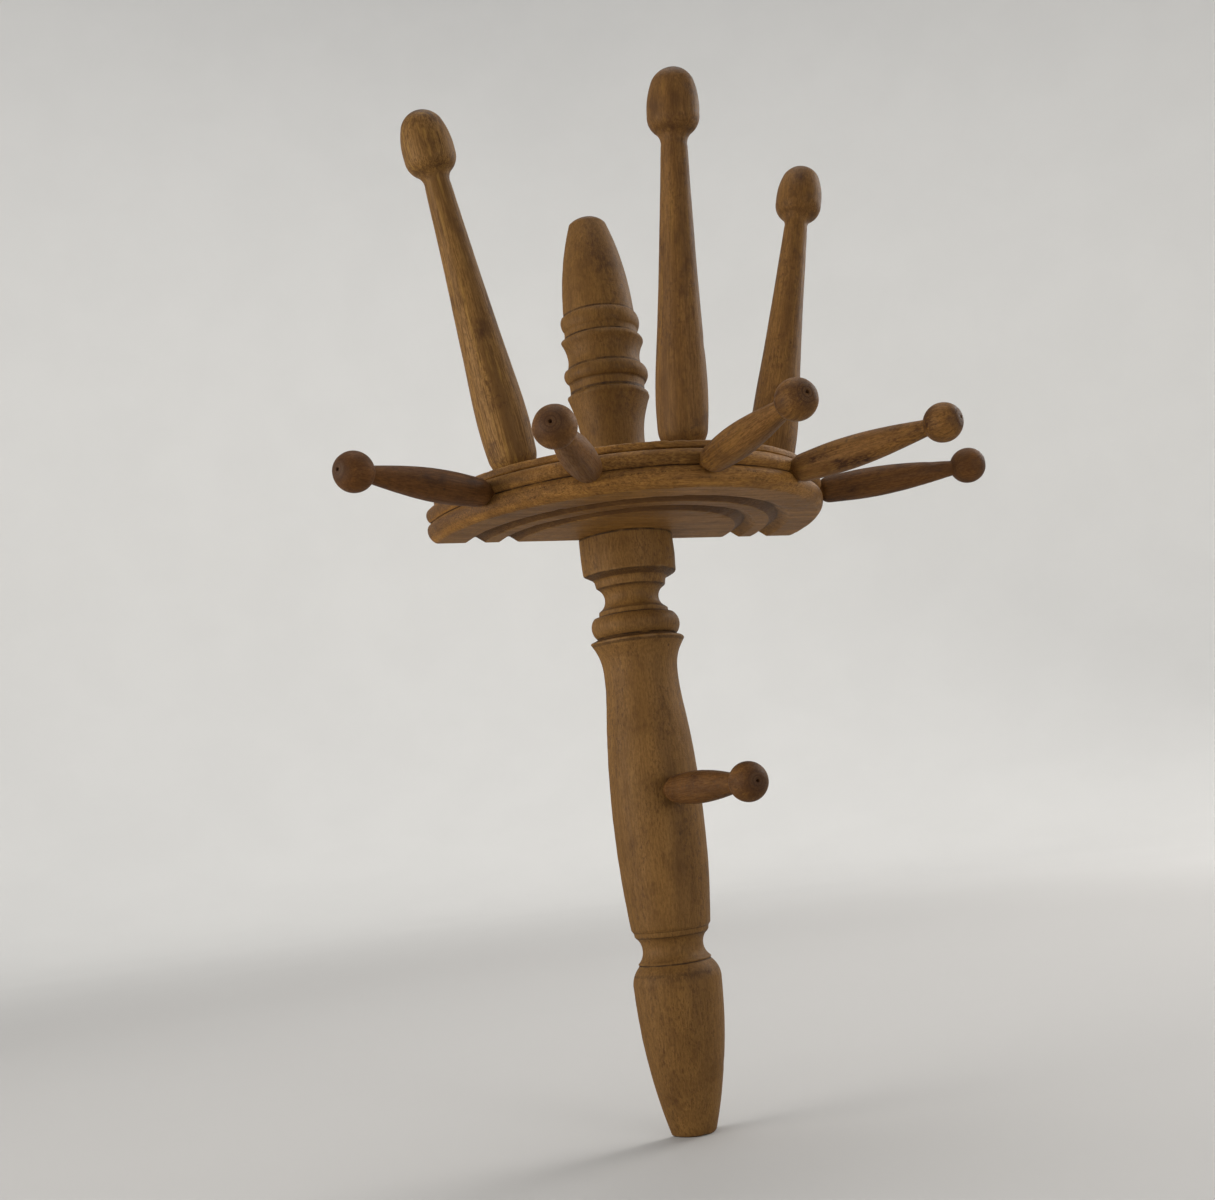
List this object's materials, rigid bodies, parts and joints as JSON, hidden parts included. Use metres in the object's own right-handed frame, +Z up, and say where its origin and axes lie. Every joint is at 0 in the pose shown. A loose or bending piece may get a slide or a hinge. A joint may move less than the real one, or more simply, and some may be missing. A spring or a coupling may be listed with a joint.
{
  "type": "wall-hung mug tree",
  "caption": "Half-round turned-wood wall rack: a split spindle carries a moulded half-disc shelf with radiating ball-ended pegs and tall upright pegs.",
  "frame": {"origin": "on the spindle axis in the flat sawn back plane, level with the underside of the half-disc shelf", "axes": "+Z up along the spindle, +Y straight into the wall out of the flat back, +X to the viewer's right"},
  "size_m": [0.3156, 0.1787, 0.4693],
  "materials": {
    "spindle_wood": "satin",
    "shelf_wood": "satin",
    "peg_wood": "satin",
    "tall_peg_wood": "satin",
    "hardware_steel": "satin"
  },
  "bodies": {
    "root": {"lower_spindle": "spindle_wood", "finial": "spindle_wood", "shelf": "shelf_wood", "tall_peg_left": "tall_peg_wood", "tall_peg_middle": "tall_peg_wood", "tall_peg_right": "tall_peg_wood", "rim_peg_far_left": "peg_wood", "rim_peg_left": "peg_wood", "rim_peg_middle": "peg_wood", "rim_peg_right": "peg_wood", "rim_peg_far_right": "peg_wood", "low_peg": "peg_wood", "upper_hanger_plate": "hardware_steel", "lower_hanger_plate": "hardware_steel", "hanger_screws": "hardware_steel"}
  },
  "joints": []
}
